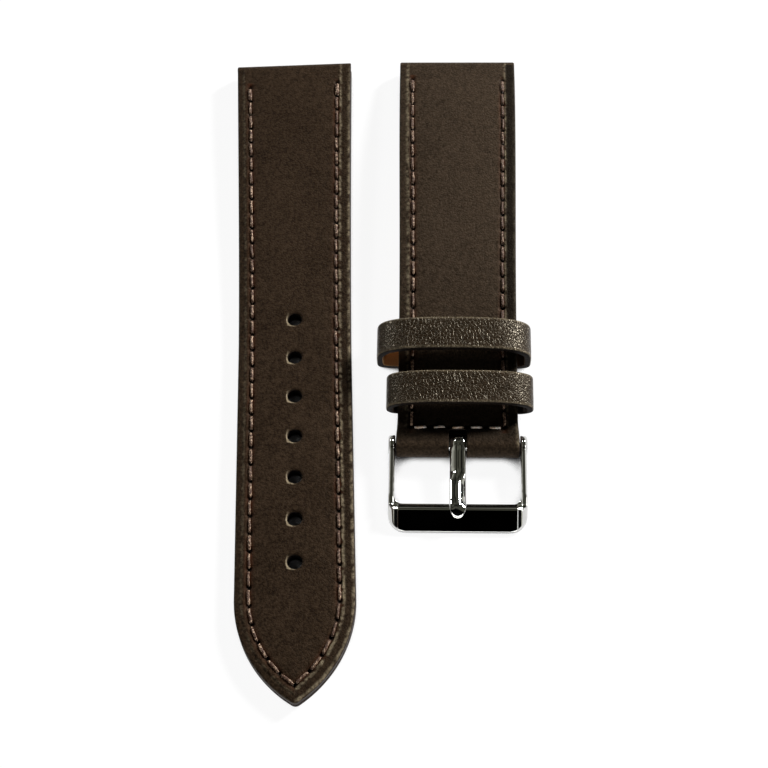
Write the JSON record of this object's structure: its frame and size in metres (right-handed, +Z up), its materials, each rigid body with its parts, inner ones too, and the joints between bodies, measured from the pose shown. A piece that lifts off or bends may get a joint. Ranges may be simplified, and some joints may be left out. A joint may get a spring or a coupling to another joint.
{
  "type": "watch strap",
  "caption": "Two-piece padded leather watch strap with contrast stitching, punched tapering tail, fixed and free keeper, and a tang buckle on a sprung bar",
  "frame": {"origin": "on the axis of the short half's spring bar channel at its lug end, mid width", "axes": "+X along that channel, +Y away from the buckle along the short half, +Z up from the surface both halves lie on"},
  "size_m": [0.0503, 0.1162, 0.0088],
  "materials": {
    "dark_leather": "smooth dark brown calf, satin, fine grain",
    "filler": "bonded leather padding, painted at its edges",
    "lining": "matt brown lining leather",
    "thread": "waxed tan sewing thread",
    "steel": "polished stainless steel"
  },
  "bodies": {
    "short_half": {"short_top_leather": "dark_leather", "short_filler": "filler", "short_lining": "lining", "short_needle_thread": "thread", "short_bobbin_thread": "thread", "fixed_keeper": "dark_leather"},
    "free_keeper": {"free_keeper": "dark_leather"},
    "tail_half": {"tail_top_leather": "dark_leather", "tail_filler": "filler", "tail_lining": "lining", "tail_needle_thread": "thread", "tail_bobbin_thread": "thread"},
    "buckle_frame": {"buckle_frame": "steel"},
    "buckle_tongue": {"buckle_tongue": "steel"},
    "spring_bar_tube": {"spring_bar_tube": "steel", "spring_bar_spring": "steel"},
    "spring_bar_pin_left": {"spring_bar_pin_left": "steel"},
    "spring_bar_pin_right": {"spring_bar_pin_right": "steel"}
  },
  "joints": [
    {"name": "free_keeper_slide", "type": "hinge", "parent": "short_half", "child": "free_keeper", "pos_m": [0, -0.03875, -0.24875], "axis": [-1, 0, 0], "range_deg": [-0.7, 6.4]},
    {"name": "tail_half_lay", "type": "slide", "parent": "short_half", "child": "tail_half", "axis": [-1, 0, 0], "range_m": [0, 0.06]},
    {"name": "buckle_hinge", "type": "hinge", "parent": "short_half", "child": "buckle_frame", "pos_m": [0, -0.07342, 0.00005], "axis": [-1, 0, 0], "range_deg": [-130, 35]},
    {"name": "tongue_hinge", "type": "hinge", "parent": "buckle_frame", "child": "buckle_tongue", "pos_m": [0, -0.07342, 0.00005], "axis": [-1, 0, 0], "range_deg": [0, 66]},
    {"name": "spring_bar_turn", "type": "hinge", "parent": "short_half", "child": "spring_bar_tube", "pos_m": [0, -0.07342, 0.00005], "axis": [1, 0, 0], "continuous": true},
    {"name": "left_pin_press", "type": "slide", "parent": "spring_bar_tube", "child": "spring_bar_pin_left", "axis": [1, 0, 0], "range_m": [0, 0.0009], "stiffness_N_per_m": 800, "deforming": ["spring_bar_spring"]},
    {"name": "right_pin_press", "type": "slide", "parent": "spring_bar_tube", "child": "spring_bar_pin_right", "axis": [-1, 0, 0], "range_m": [0, 0.0009], "stiffness_N_per_m": 800, "deforming": ["spring_bar_spring"]}
  ]
}
